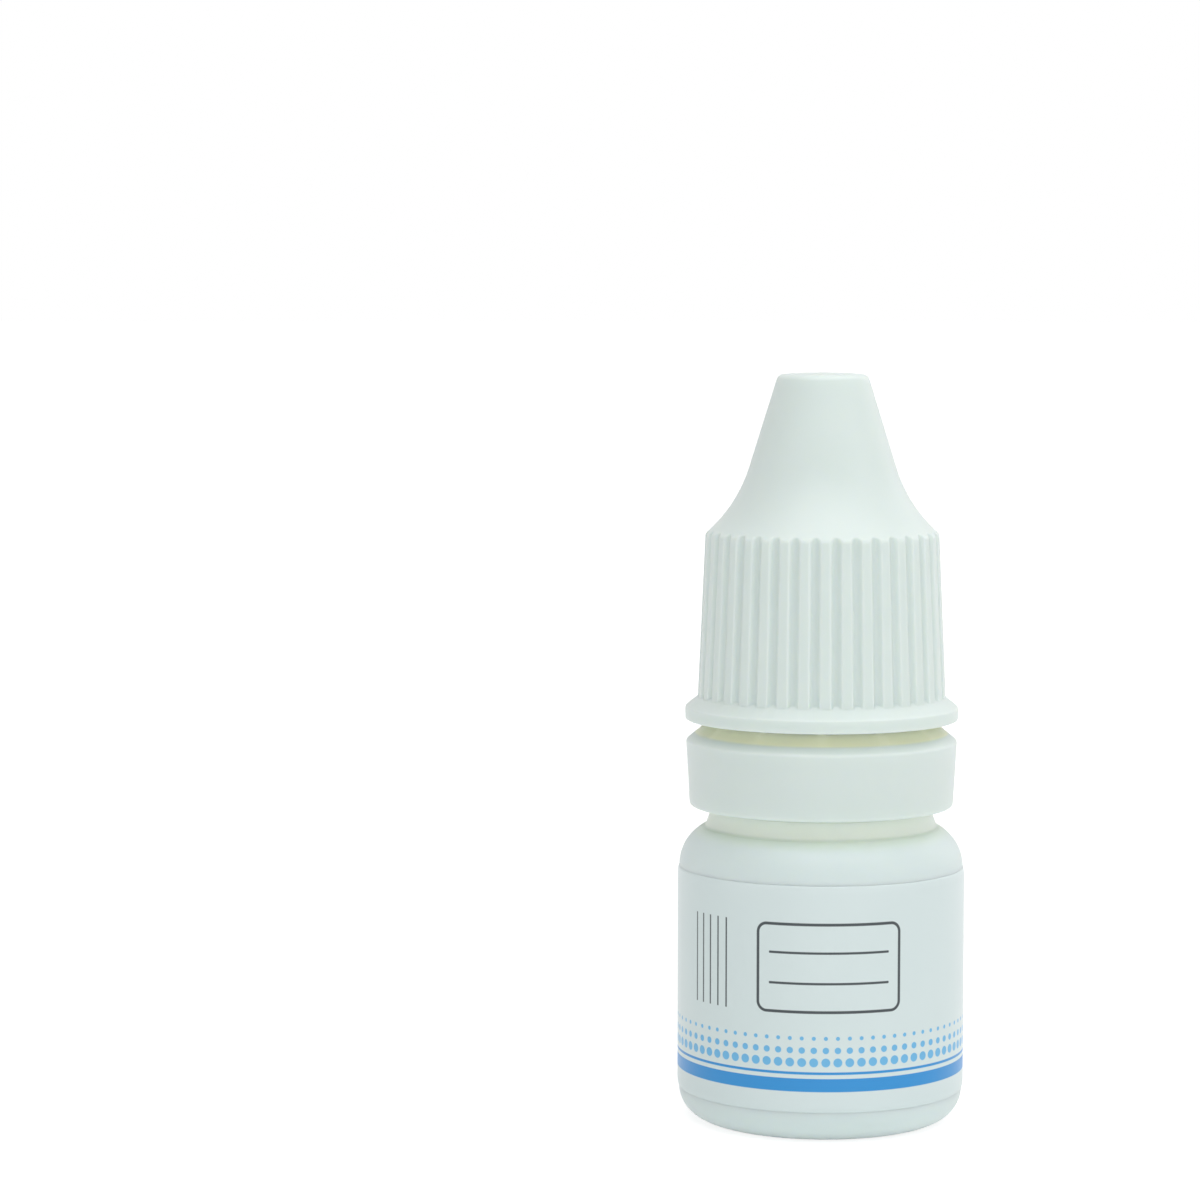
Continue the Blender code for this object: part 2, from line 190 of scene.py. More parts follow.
def spin_outline(shape: bmesh.types.BMesh, points: Sequence[Point], steps: int, angle: float,
                 closed: bool = False, start: float = 0.0,
                 rise: float = 0.0) -> list[bmesh.types.BMVert]:
    """Turn an outline about Z into a surface.

    Args:
        shape: The mesh that gets the surface.
        points: The outline as (radius, height).
        steps: Number of steps on the way round.
        angle: How far round it goes, which leaves two open ends.
        closed: Whether the outline's last point joins its first.
        start: Angle of the first step from +X.
        rise: How far it climbs on the way, as a thread does.

    Returns:
        The new vertices.
    """
    known = set(shape.verts)
    kept = [points[0]]
    for point in points[1:]:
        if math.dist(point, kept[-1]) > WELD:
            kept.append(point)
    verts = [shape.verts.new((radius, 0, height)) for radius, height in kept]
    edges = [shape.edges.new(pair) for pair in zip(verts, verts[1:])]
    if closed:
        edges.append(shape.edges.new((verts[-1], verts[0])))
    bmesh.ops.spin(
        shape, geom=verts + edges, cent=(0, 0, 0), axis=(0, 0, 1), dvec=(0, 0, rise / steps),
        angle=angle, steps=steps, use_merge=False, use_duplicate=False)
    made = [vert for vert in shape.verts if vert not in known]
    bmesh.ops.rotate(shape, verts=made, cent=(0, 0, 0), matrix=Matrix.Rotation(start, 3, "Z"))
    return made


def copy_round(shape: bmesh.types.BMesh, count: int) -> None:
    """Repeat a slice of a turned shape until it goes all the way round.

    Args:
        shape: The mesh, which holds one slice.
        count: Number of slices in a full turn.
    """
    slice_parts = [*shape.verts, *shape.edges, *shape.faces]
    bmesh.ops.spin(
        shape, geom=slice_parts, cent=(0, 0, 0), axis=(0, 0, 1), dvec=(0, 0, 0),
        angle=math.tau * (count - 1) / count, steps=count - 1, use_merge=False, use_duplicate=True)


def turned(points: Sequence[Point], steps: int, closed: bool = False) -> bmesh.types.BMesh:
    """Turn an outline all the way round, slice by slice.

    Args:
        points: The outline as (radius, height).
        steps: Number of steps in a full turn.
        closed: Whether the outline's last point joins its first.

    Returns:
        The mesh.
    """
    shape = bmesh.new()
    spin_outline(shape, points, steps // SLICES, math.tau / SLICES, closed=closed)
    copy_round(shape, SLICES)
    return shape


def close_ends(shape: bmesh.types.BMesh) -> None:
    """Fill the open ends of a tube or a strip."""
    bmesh.ops.holes_fill(shape, edges=[edge for edge in shape.edges if edge.is_boundary], sides=0)


def into_place(shape: bmesh.types.BMesh, name: str, height: float, finish: bpy.types.Material,
               crease: float = 40.0) -> bpy.types.Object:
    """Make an object of a mesh, with its place in its points and its faces outwards.

    Args:
        shape: The mesh, which is freed.
        name: The object's name.
        height: How far the mesh goes up.
        finish: Its material.
        crease: Angle in degrees past which an edge looks sharp.

    Returns:
        The object, at the origin.
    """
    bmesh.ops.remove_doubles(shape, verts=shape.verts, dist=WELD)
    bmesh.ops.recalc_face_normals(shape, faces=shape.faces)
    bmesh.ops.translate(shape, verts=shape.verts, vec=(0, 0, height))
    mesh = bpy.data.meshes.new(name)
    shape.to_mesh(mesh)
    shape.free()
    mesh.materials.append(finish)
    mesh.shade_smooth()
    mesh.set_sharp_from_angle(angle=math.radians(crease))
    item = bpy.data.objects.new(name, mesh)
    bpy.context.scene.collection.objects.link(item)
    log.info("%s: %d faces", name, len(mesh.polygons))
    return item


def seat(item: bpy.types.Object, body: Body, slot: Slot, *nodes: str) -> None:
    """Let a piece ride on its body, and stand for the nodes that it replaces.

    Args:
        item: The piece.
        body: The body that it rides on.
        slot: Not used.
        nodes: The nodes that it replaces, if any.
    """
    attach(item, body.value)
    if nodes:
        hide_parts(*nodes)


@dataclass(frozen=True)
class PaintedSoakLight:
    """Painted light: a lighter faint colour between two heights, for light soaking into the shade.

    Attributes:
        colour: sRGB hex of the painted light.
        low: Height at which it begins.
        high: Height at which it ends.
        fade: Height over which each end fades.
        reach: Radius beyond which the plastic keeps its own colour, with the same fade.
    """

    colour: str
    low: float
    high: float
    fade: float
    reach: float

    def over(self, tree: Tree, place: Socket, colour: Node) -> Node:
        """Mix the painted light into a colour by height and radius.

        Args:
            tree: The material's tree.
            place: Object coordinates.
            colour: The colour so far.

        Returns:
            The mixed colour.
        """
        height = add_node(tree, "SeparateXYZ", {"Vector": place}).outputs["Z"]
        flat = add_node(tree, "VectorMath", {0: place, 1: (1.0, 1.0, 0.0)}, operation="MULTIPLY")
        radius = add_node(tree, "VectorMath", {0: flat}, operation="LENGTH")
        share: float | Node = 1.0
        for value, empty, full in ((height, self.low - self.fade, self.low + self.fade),
                                   (height, self.high + self.fade, self.high - self.fade),
                                   (radius, self.reach + self.fade, self.reach - self.fade)):
            step = add_node(tree, "MapRange", {"Value": value, "From Min": empty, "From Max": full},
                            interpolation_type="SMOOTHSTEP")
            share = add_node(tree, "Math", {0: share, 1: step}, operation="MULTIPLY")
        return add_node(tree, "Mix", {"Factor": share, "A": colour, "B": linear(self.colour)},
                        data_type="RGBA")


@dataclass(frozen=True)
class Plastic:
    """A white plastic, as it comes out of its mould or off its roll.

    Attributes:
        name: The material's name.
        colour: sRGB hex of the plastic.
        mottle: sRGB hex of the cloudier parts of the melt.
        roughness: Its mean roughness.
        ior: Its index of refraction.
        grain: Size of the fine grain that the mould's or the roller's steel leaves.
        grain_depth: Depth of that grain, or 0 where it changes the gloss alone.
        wave: Size of the slow waves where the wall shrank or the film was pulled.
        wave_depth: Depth of those waves.
        soak: How far light soaks into it, or 0 where it stays near the surface.
        layer: The painted light soaking into it, or its print, if any.
        parting: Half the width of the line where the mould's halves met, or 0 for none.
        cloud: Size of the cloudier parts.
        sheen: How far its roughness strays from the mean.
        detail: Number of ever finer noises in the grain.
    """

    name: str
    colour: str
    mottle: str
    roughness: float
    ior: float
    grain: float
    grain_depth: float
    wave: float
    wave_depth: float
    soak: float = 0.0
    layer: "PaintedSoakLight | LabelPrint | None" = None
    parting: float = 0.0
    cloud: float = 4.0 * MM
    sheen: float = 0.05
    detail: float = 4.0

    def material(self) -> bpy.types.Material:
        """Make the material.

        Returns:
            A Principled material with its mottle, grain and waves on object coordinates.
        """
        made = bpy.data.materials.new(self.name)
        made.use_nodes = True
        tree = made.node_tree
        place = add_node(tree, "TexCoord").outputs["Object"]
        cloud, fine, slow = (
            add_node(tree, "TexNoise", {"Vector": place, "Scale": 1 / size, "Detail": detail})
            for size, detail in ((self.cloud, 3.0), (self.grain, self.detail), (self.wave, 1.0)))
        colour = add_node(tree, "Mix", {"Factor": cloud, "A": linear(self.colour),
                                        "B": linear(self.mottle)}, data_type="RGBA")
        # Painted light soaking into the plastic, or the label's print, goes over its colour here.
        if self.layer:
            colour = self.layer.over(tree, place, colour)
        roughness = add_node(
            tree, "MapRange", {"Value": fine, "To Min": self.roughness - self.sheen,
                               "To Max": self.roughness + self.sheen})
        normal = add_node(tree, "Bump", {"Height": slow, "Distance": self.wave_depth})
        if self.grain_depth:
            normal = add_node(tree, "Bump", {"Height": fine, "Distance": self.grain_depth,
                                             "Normal": normal})
        if self.parting:
            normal = self.parting_line(tree, place, normal)
        feed(tree, tree.nodes["Principled BSDF"], {
            "Base Color": colour, "Roughness": roughness, "IOR": self.ior, "Normal": normal})
        if self.soak:
            feed(tree, tree.nodes["Principled BSDF"], {
                "Subsurface Weight": 1.0, "Subsurface Radius": SOAK_SHARES,
                "Subsurface Scale": self.soak})
        return made

    def parting_line(self, tree: Tree, place: Socket, normal: Node) -> Node:
        """Raise a fine line in the plane through X and Z, where the mould's halves met.

        Args:
            tree: The material's tree.
            place: Object coordinates.
            normal: The normal so far.

        Returns:
            The normal with the line.
        """
        side = add_node(tree, "SeparateXYZ", {"Vector": place}).outputs["Y"]
        off = add_node(tree, "Math", {0: side}, operation="ABSOLUTE")
        ridge = add_node(
            tree, "MapRange", {"Value": off, "From Min": self.parting, "From Max": 0.0},
            interpolation_type="SMOOTHSTEP")
        return add_node(tree, "Bump", {"Height": ridge, "Distance": self.parting / 2,
                                       "Normal": normal})


# Blow-moulded low-density polyethylene: milky, soft to the eye, with a satin skin and faint waves.
# Round the neck and under the ring it is painted lighter and greener, as painted soaked-in light.
BLOWN_LDPE = Plastic(
    "blown_low_density_polyethylene", "deeae9", "d9e5e4", 0.42, 1.51, 0.22 * MM, 0.002 * MM,
    5.0 * MM, 0.02 * MM, 0.6 * MM, PaintedSoakLight("eefaea", 22.3 * MM, 31.0 * MM, 0.6 * MM, 12.0 * MM),
    0.12 * MM)

# Injection-moulded high-density polyethylene: denser white, crisp edges and a low even gloss.
MOULDED_HDPE = Plastic(
    "moulded_high_density_polyethylene", "e1ebe8", "dce7e3", 0.40, 1.53, 0.15 * MM, 0.0015 * MM,
    7.0 * MM, 0.012 * MM, 0.6 * MM)

# The ring is the cap's own plastic; its thin web in the flange's shade is painted lighter and
# yellower, as painted light soaking through the web.
RING_HDPE = replace(
    MOULDED_HDPE, name="moulded_high_density_polyethylene_ring",
    layer=PaintedSoakLight("fbfed8", 29.78 * MM, 33.0 * MM, 0.12 * MM, 9.72 * MM))

# Injection-moulded low-density polyethylene without pigment: waxy and a little warmer.
NATURAL_LDPE = Plastic(
    "natural_low_density_polyethylene", "e2e8df", "dbe3d8", 0.40, 1.51, 0.2 * MM, 0.002 * MM,
    4.0 * MM, 0.012 * MM, 0.7 * MM)


@dataclass(frozen=True)
class Press:
    """Lays shapes of ink on a film while it is flat.

    Attributes:
        tree: The film's node tree.
        sheet: Where its points lie: width from the middle of its front, height and 0.
        edge: Half the softness of an ink's edge.
    """

    tree: Tree
    sheet: Node
    edge: float

    def distance(self, middle: Point, half: Point, corner: float) -> Node:
        """Distance outside a round-cornered box, which is negative inside.

        Args:
            middle: The box's middle.
            half: Half its width and height.
            corner: Radius of its corners.

        Returns:
            The distance.
        """
        inner = (half[0] - corner, half[1] - corner, 0.0)
        off = add_node(self.tree, "VectorMath", {0: self.sheet, 1: (*middle, 0.0)},
                       operation="SUBTRACT")
        mirrored = add_node(self.tree, "VectorMath", {0: off}, operation="ABSOLUTE")
        past = add_node(self.tree, "VectorMath", {0: mirrored, 1: inner}, operation="SUBTRACT")
        outside = add_node(self.tree, "VectorMath", {0: past, 1: (0.0, 0.0, 0.0)},
                           operation="MAXIMUM")
        length = add_node(self.tree, "VectorMath", {0: outside}, operation="LENGTH")
        return add_node(self.tree, "Math", {0: length, 1: corner}, operation="SUBTRACT")

    def ink(self, distance: Node) -> Node:
        """Share of ink, which is 1 where a distance is well below zero."""
        return add_node(self.tree, "MapRange", {"Value": distance, "From Min": self.edge,
                                                "From Max": -self.edge},
                        interpolation_type="SMOOTHSTEP")

    def area(self, middle: Point, half: Point) -> Node:
        """Ink inside a box, given by its middle and half its width and height."""
        return self.ink(self.distance(middle, half, self.edge * 2))

    def frame_line(self, middle: Point, half: Point, corner: float, line: float) -> Node:
        """Ink along the outline of a box, inside it.

        Args:
            middle: The box's middle.
            half: Half its width and height.
            corner: Radius of its corners.
            line: Width of the line.

        Returns:
            The share of ink.
        """
        outside = self.distance(middle, half, corner)
        centred = add_node(self.tree, "Math", {0: outside, 1: line / 2}, operation="ADD")
        away = add_node(self.tree, "Math", {0: centred}, operation="ABSOLUTE")
        return self.ink(add_node(self.tree, "Math", {0: away, 1: line / 2}, operation="SUBTRACT"))

    def dots(self, rows: Point, pitch: float, sizes: Point) -> Node:
        """Ink rows of dots, which shrink from row to row.

        Args:
            rows: Heights at which they begin and end.
            pitch: Distance between dots.
            sizes: Radius of the first and the last dots, in pitches.

        Returns:
            The share of ink, also past the rows.
        """
        lifted = add_node(self.tree, "VectorMath", {0: self.sheet, 1: (0.0, rows[0], 0.0)},
                          operation="SUBTRACT")
        cells = add_node(self.tree, "VectorMath", {0: lifted, 1: (1 / pitch, 1 / pitch, 1.0)},
                         operation="MULTIPLY")
        within = add_node(self.tree, "VectorMath", {0: cells}, operation="FRACTION")
        off = add_node(self.tree, "VectorMath", {0: within, 1: (0.5, 0.5, 0.0)},
                       operation="SUBTRACT")
        away = add_node(self.tree, "VectorMath", {0: off}, operation="LENGTH")
        height = add_node(self.tree, "SeparateXYZ", {"Vector": self.sheet}).outputs["Y"]
        size = add_node(self.tree, "MapRange", {"Value": height, "From Min": rows[0],
                                                "From Max": rows[1], "To Min": sizes[0],
                                                "To Max": sizes[1]})
        past = add_node(self.tree, "Math", {0: away, 1: size}, operation="SUBTRACT")
        return self.ink(add_node(self.tree, "Math", {0: past, 1: pitch}, operation="MULTIPLY"))

    def uprights(self, pitch: float, half: float) -> Node:
        """Ink upright rules all along the film.

        Args:
            pitch: Distance between rules.
            half: Half the width of a rule.

        Returns:
            The share of ink.
        """
        width = add_node(self.tree, "SeparateXYZ", {"Vector": self.sheet}).outputs["X"]
        wave = add_node(self.tree, "Math", {0: width, 1: pitch / 2}, operation="PINGPONG")
        return self.ink(add_node(self.tree, "Math", {0: wave, 1: half}, operation="SUBTRACT"))

    def both(self, first: Node, second: Node) -> Node:
        """Ink only where each of two shares has it."""
        return add_node(self.tree, "Math", {0: first, 1: second}, operation="MULTIPLY")


@dataclass(frozen=True)
class LabelPrint:
    """The label's print, whose places are a width from the front's middle and a height.

    Attributes:
        charcoal: sRGB hex of the dark ink.
        blue: sRGB hex of the strong blue ink.
        pale: sRGB hex of the light blue ink.
        radius: Radius at which the film lies, by which an angle becomes a width.
        edge: Half the softness of an ink's edge.
        panel: Middle of the framed panel.
        panel_half: Half the panel's width and height.
        panel_corner: Radius of the panel's corners.
        panel_line: Width of the panel's frame.
        rules: Heights of the two rules in the panel.
        rule_half: Half the width and height of a rule.
        column: Middle of the column of upright rules.
        column_half: Half the column's width and height.
        column_pitch: Distance between upright rules.
        column_line: Half the width of an upright rule.
        bands: Height and half the height of each blue band.
        rows: Heights at which the rows of dots begin and end.
        dot_pitch: Distance between dots.
        dot_sizes: Radius of the first and the last dots, in pitches.
        reach: Half the width of what goes all the way round.
    """

    charcoal: str = "40484c"
    blue: str = "2c93d8"
    pale: str = "6fb9e6"
    radius: float = 11.0 * MM
    edge: float = 0.03 * MM
    panel: Point = (0.7 * MM, 13.4 * MM)
    panel_half: Point = (5.6 * MM, 3.4 * MM)
    panel_corner: float = 0.8 * MM
    panel_line: float = 0.22 * MM
    rules: Point = (14.55 * MM, 12.25 * MM)
    rule_half: Point = (4.6 * MM, 0.09 * MM)
    column: Point = (-9.35 * MM, 13.4 * MM)
    column_half: Point = (2.2 * MM, 3.4 * MM)
    column_pitch: float = 0.85 * MM
    column_line: float = 0.07 * MM
    bands: tuple[Point, ...] = ((4.6 * MM, 0.5 * MM), (5.5 * MM, 0.1 * MM))
    rows: Point = (5.9 * MM, 8.6 * MM)
    dot_pitch: float = 0.9 * MM
    dot_sizes: Point = (0.42, 0.12)
    reach: float = 40.0 * MM

    def over(self, tree: Tree, place: Socket, colour: Node) -> Node:
        """Print the bands, dots, panel and rules over a colour, by height and by the way round.

        Args:
            tree: The material's tree.
            place: Object coordinates.
            colour: The film's colour.

        Returns:
            The printed colour.
        """
        for share, ink in self.inks(Press(tree, self.unrolled(tree, place), self.edge)):
            colour = add_node(tree, "Mix", {"Factor": share, "A": colour, "B": linear(ink)},
                              data_type="RGBA")
        return colour

    def unrolled(self, tree: Tree, place: Socket) -> Node:
        """Lay the film out flat.

        Args:
            tree: The material's tree.
            place: Object coordinates.

        Returns:
            A vector of the width from the front's middle, the height and 0.
        """
        split = add_node(tree, "SeparateXYZ", {"Vector": place}).outputs
        ahead = add_node(tree, "Math", {0: split["Y"], 1: -1.0}, operation="MULTIPLY")
        turn = add_node(tree, "Math", {0: split["X"], 1: ahead}, operation="ARCTAN2")
        width = add_node(tree, "Math", {0: turn, 1: self.radius}, operation="MULTIPLY")
        return add_node(tree, "CombineXYZ", {"X": width, "Y": split["Z"]})

    def inks(self, press: Press) -> list[tuple[Node, str]]:
        """Print the design.

        Args:
            press: What lays the inks on the film.

        Returns:
            The share of each ink and its colour, in the order in which they are printed.
        """
        first, last = self.rows
        dots = press.both(press.dots(self.rows, self.dot_pitch, self.dot_sizes),
                          press.area((0, (first + last) / 2), (self.reach, (last - first) / 2)))
        inks = [(dots, self.pale)]
        inks += [(press.area((0, height), (self.reach, half)), self.blue)
                 for height, half in self.bands]
        dark = [press.frame_line(self.panel, self.panel_half, self.panel_corner, self.panel_line)]
        dark += [press.area((self.panel[0], height), self.rule_half) for height in self.rules]
        dark.append(press.both(press.uprights(self.column_pitch, self.column_line),
                               press.area(self.column, self.column_half)))
        return inks + [(share, self.charcoal) for share in dark]


# Biaxially drawn polypropylene film, white in the mass: smooth, with a sheen over its inks.
LABEL_FILM = Plastic(
    "printed_polypropylene_film", "dde9e9", "d9e6e6", 0.33, 1.49, 0.3 * MM, 0.0, 6.0 * MM,
    0.02 * MM, layer=LabelPrint(), cloud=6.0 * MM, sheen=0.04, detail=3.0)


@dataclass(frozen=True)
class Thread:
    """One start of a right-hand thread, whose ends fade into the wall.

    Attributes:
        root: Radius of the wall that carries it.
        crest: Radius of its crest, inside or outside the wall.
        foot_width: Height that it takes at the wall.
        crest_width: Height of its crest.
        bottom: Height of its middle at the lower end.
        fade: Angle over which each end fades.
        pitch: Rise in one turn.
        turns: Number of turns.
        sunk: How far its foot reaches into the wall.
        steps: Number of steps in one turn.
    """

    root: float
    crest: float
    foot_width: float
    crest_width: float
    bottom: float
    fade: float
    pitch: float = 3.0 * MM
    turns: float = 2.0
    sunk: float = 0.1 * MM
    steps: int = 96

    def mesh(self) -> bmesh.types.BMesh:
        """Wind the thread.

        Returns:
            Its mesh.
        """
        buried = self.root - math.copysign(self.sunk, self.crest - self.root)
        foot, top = self.foot_width / 2, self.crest_width / 2
        outline = [(buried, -foot), (self.root, -foot), (self.crest, -top), (self.crest, top),
                   (self.root, foot), (buried, foot)]
        shape = bmesh.new()
        spin_outline(shape, outline, round(self.turns * self.steps), math.tau * self.turns,
                     closed=True, rise=self.pitch * self.turns)
        close_ends(shape)
        for vert in shape.verts:
            radius = math.hypot(vert.co.x, vert.co.y)
            travel = math.atan2(vert.co.y, vert.co.x) % math.tau
            travel += math.tau * round((vert.co.z / self.pitch * math.tau - travel) / math.tau)
            left = min(travel, math.tau * self.turns - travel) / self.fade
            share = math.sin(QUARTER * min(max(left, 0.0), 1.0))
            scale = (buried + (radius - buried) * share) / radius
            vert.co.x *= scale
            vert.co.y *= scale
        bmesh.ops.translate(shape, verts=shape.verts, vec=(0, 0, self.bottom))
        return shape


@dataclass(frozen=True)
class Neck:
    """The sizes that the bottle's neck shares with what goes on it and in it."""

    bore: float = 5.2 * MM
    radius: float = 6.8 * MM
    fit: float = 0.1 * MM
    thread_room: float = 1.1 * MM


@dataclass(frozen=True)
class SqueezeBottle:
    """The blow-moulded bottle with its neck, bead, collar and thread."""

    neck: Neck
    radius: float = 10.88 * MM
    wall: float = 0.9 * MM
    straight: float = 17.15 * MM
    corner: float = 2.45 * MM
    land: float = 0.9 * MM
    push_up: float = 0.9 * MM
    shoulder_drop: float = 3.45 * MM
    shoulder_reach: float = 3.68 * MM
    collar_top: float = 24.0 * MM
    collar_radius: float = 8.45 * MM
    collar_foot: float = 8.8 * MM
    collar_edge: float = 0.15 * MM
    collar_fillet: float = 0.25 * MM
    lip_round: float = 0.3 * MM
    bead_radius: float = 8.41 * MM
    bead_bottom: float = 25.4 * MM
    bead_land: float = 0.5 * MM
    bead_ramp: float = 1.3 * MM
    bead_round: float = 0.12 * MM
    thread_depth: float = 0.6 * MM
    thread_foot: float = 1.5 * MM
    thread_crest: float = 0.5 * MM
    thread_drop: float = 8.0 * MM
    thread_fade: float = math.radians(50)
    steps: int = 288

    @property
    def top(self) -> float:
        """Height of the neck's lip."""
        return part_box("bottle_body")[1].z

    @property
    def shoulder_foot(self) -> float:
        """Height at which the straight wall ends and the shoulder begins."""
        return self.corner + self.straight

    def inside(self) -> list[Point]:
        """Draw the inside.

        Returns:
            Its outline, from the middle of the floor up to the mouth.
        """
        land_inner = self.radius - self.corner - self.land
        points = dome(land_inner, self.push_up, self.wall, 8)[::-1]
        points += round_arc((self.radius - self.corner, self.corner), self.corner - self.wall,
                            -QUARTER, 0, 10)
        reach = self.radius - self.wall - self.neck.bore
        points += arc((self.neck.bore, self.shoulder_foot),
                      (reach, self.shoulder_drop - self.wall), 0, QUARTER, 14)
        lip = (self.neck.bore + self.lip_round, self.top - self.lip_round)
        return points + round_arc(lip, self.lip_round, math.pi, QUARTER, 4)

    def outside(self) -> list[Point]:
        """Draw the outside.

        Returns:
            Its outline, from the lip over the bead, collar and shoulder down to the base.
        """
        neck = self.neck.radius
        points = round_arc((neck - self.lip_round, self.top - self.lip_round), self.lip_round,
                           QUARTER, 0, 5)
        crest = self.bead_bottom + self.bead_land
        points.append((neck, crest + self.bead_ramp))
        bead = self.bead_radius - self.bead_round
        points += round_arc((bead, crest - self.bead_round), self.bead_round, QUARTER / 2, 0, 3)
        points += round_arc((bead, self.bead_bottom + self.bead_round), self.bead_round,
                            0, -QUARTER, 4)
        points.append((neck, self.bead_bottom))
        points += round_arc((neck + self.collar_fillet, self.collar_top + self.collar_fillet),
                            self.collar_fillet, math.pi, math.pi + QUARTER, 4)
        points += round_arc((self.collar_radius - self.collar_edge,
                             self.collar_top - self.collar_edge), self.collar_edge, QUARTER, 0, 4)
        middle = self.radius - self.shoulder_reach
        start = math.acos((self.collar_foot + self.collar_fillet - middle) / self.shoulder_reach)
        shoulder = arc((middle, self.shoulder_foot), (self.shoulder_reach, self.shoulder_drop),
                       start, 0, 28)
        points += round_arc((shoulder[0][0], shoulder[0][1] + self.collar_fillet),
                            self.collar_fillet, math.pi, math.pi + QUARTER, 6)
        points += shoulder
        points += along((self.radius, self.shoulder_foot), (self.radius, self.corner), 6)
        points += round_arc((self.radius - self.corner, self.corner), self.corner, 0, -QUARTER, 18)
        return points + dome(self.radius - self.corner - self.land, self.push_up, 0, 10)

    def build(self) -> None:
        """Make the bottle and its thread, and dress them."""
        finish = BLOWN_LDPE.material()
        shape = turned(self.inside() + self.outside(), self.steps)
        bottle = into_place(shape, "squeeze_bottle", 0, finish)
        seat(bottle, Body.BOTTLE, Slot.SQUEEZE, "bottle_body")
        thread = Thread(self.neck.radius, self.neck.radius + self.thread_depth, self.thread_foot,
                        self.thread_crest, self.top - self.thread_drop, self.thread_fade)
        seat(into_place(thread.mesh(), "neck_thread", 0, finish), Body.BOTTLE, Slot.SQUEEZE)


@dataclass(frozen=True)
class DropperNozzle:
    """The plug-in dropper, pressed into the neck under the cap."""

    neck: Neck
    stem_length: float = 5.6 * MM
    stem_wall: float = 1.0 * MM
    stem_chamfer: float = 0.5 * MM
    bead: float = 0.2 * MM
    bead_height: float = 0.7 * MM
    bead_count: int = 2
    flange: float = 1.0 * MM
    flange_round: float = 0.15 * MM
    inset: float = 0.1 * MM
    spout_height: float = 11.2 * MM
    spout_slope: float = math.radians(12)
    foot_radius: float = 4.2 * MM
    foot_fillet: float = 0.9 * MM
    tip_radius: float = 1.7 * MM
    tip_round: float = 0.5 * MM
    spout_wall: float = 0.9 * MM
    cup_radius: float = 0.95 * MM
    cup_depth: float = 0.5 * MM
    orifice: float = 0.35 * MM
    orifice_length: float = 1.2 * MM
    steps: int = 144

    def outline(self) -> list[Point]:
        """Draw the nozzle, with the flange's underside at height 0.

        Returns:
            Its outline, from the drip cup over the spout, flange and stem, and up the bore.
        """
        top = self.flange + self.spout_height
        points = [(self.orifice, top - self.cup_depth)]
        points += arc((self.orifice, top), (self.cup_radius - self.orifice, self.cup_depth),
                      -QUARTER, 0, 6)
        points += round_arc((self.tip_radius - self.tip_round, top - self.tip_round),
                            self.tip_round, QUARTER, self.spout_slope, 7)
        points += round_arc((self.foot_radius + self.foot_fillet, self.flange + self.foot_fillet),
                            self.foot_fillet, math.pi, math.pi + QUARTER, 8)
        rim = self.neck.radius - self.inset - self.flange_round
        points += round_arc((rim, self.flange - self.flange_round), self.flange_round,
                            QUARTER, 0, 3)
        points += round_arc((rim, self.flange_round), self.flange_round, 0, -QUARTER, 3)
        stem = self.neck.bore - self.neck.fit - self.bead
        points.append((stem, 0))
        pitch = (self.stem_length - self.stem_chamfer) / (self.bead_count + 1)
        for number in range(1, self.bead_count + 1):
            points += arc((stem, -pitch * number), (self.bead, self.bead_height / 2),
                          QUARTER, -QUARTER, 8)
        bore = stem - self.stem_wall
        points += [(stem, self.stem_chamfer - self.stem_length),
                   (stem - self.stem_chamfer, -self.stem_length), (bore, -self.stem_length),
                   (bore, 0), (self.foot_radius - self.spout_wall, self.flange),
                   (self.orifice, top - self.cup_depth - self.orifice_length)]
        return points

    def build(self) -> None:
        """Make the nozzle and dress it."""
        shape = turned(self.outline(), self.steps, closed=True)
        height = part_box("dropper_nozzle")[0].z + self.stem_length
        nozzle = into_place(shape, "plug_in_dropper", height, NATURAL_LDPE.material(), crease=50.0)
        seat(nozzle, Body.BOTTLE, Slot.NOZZLE, "dropper_nozzle")


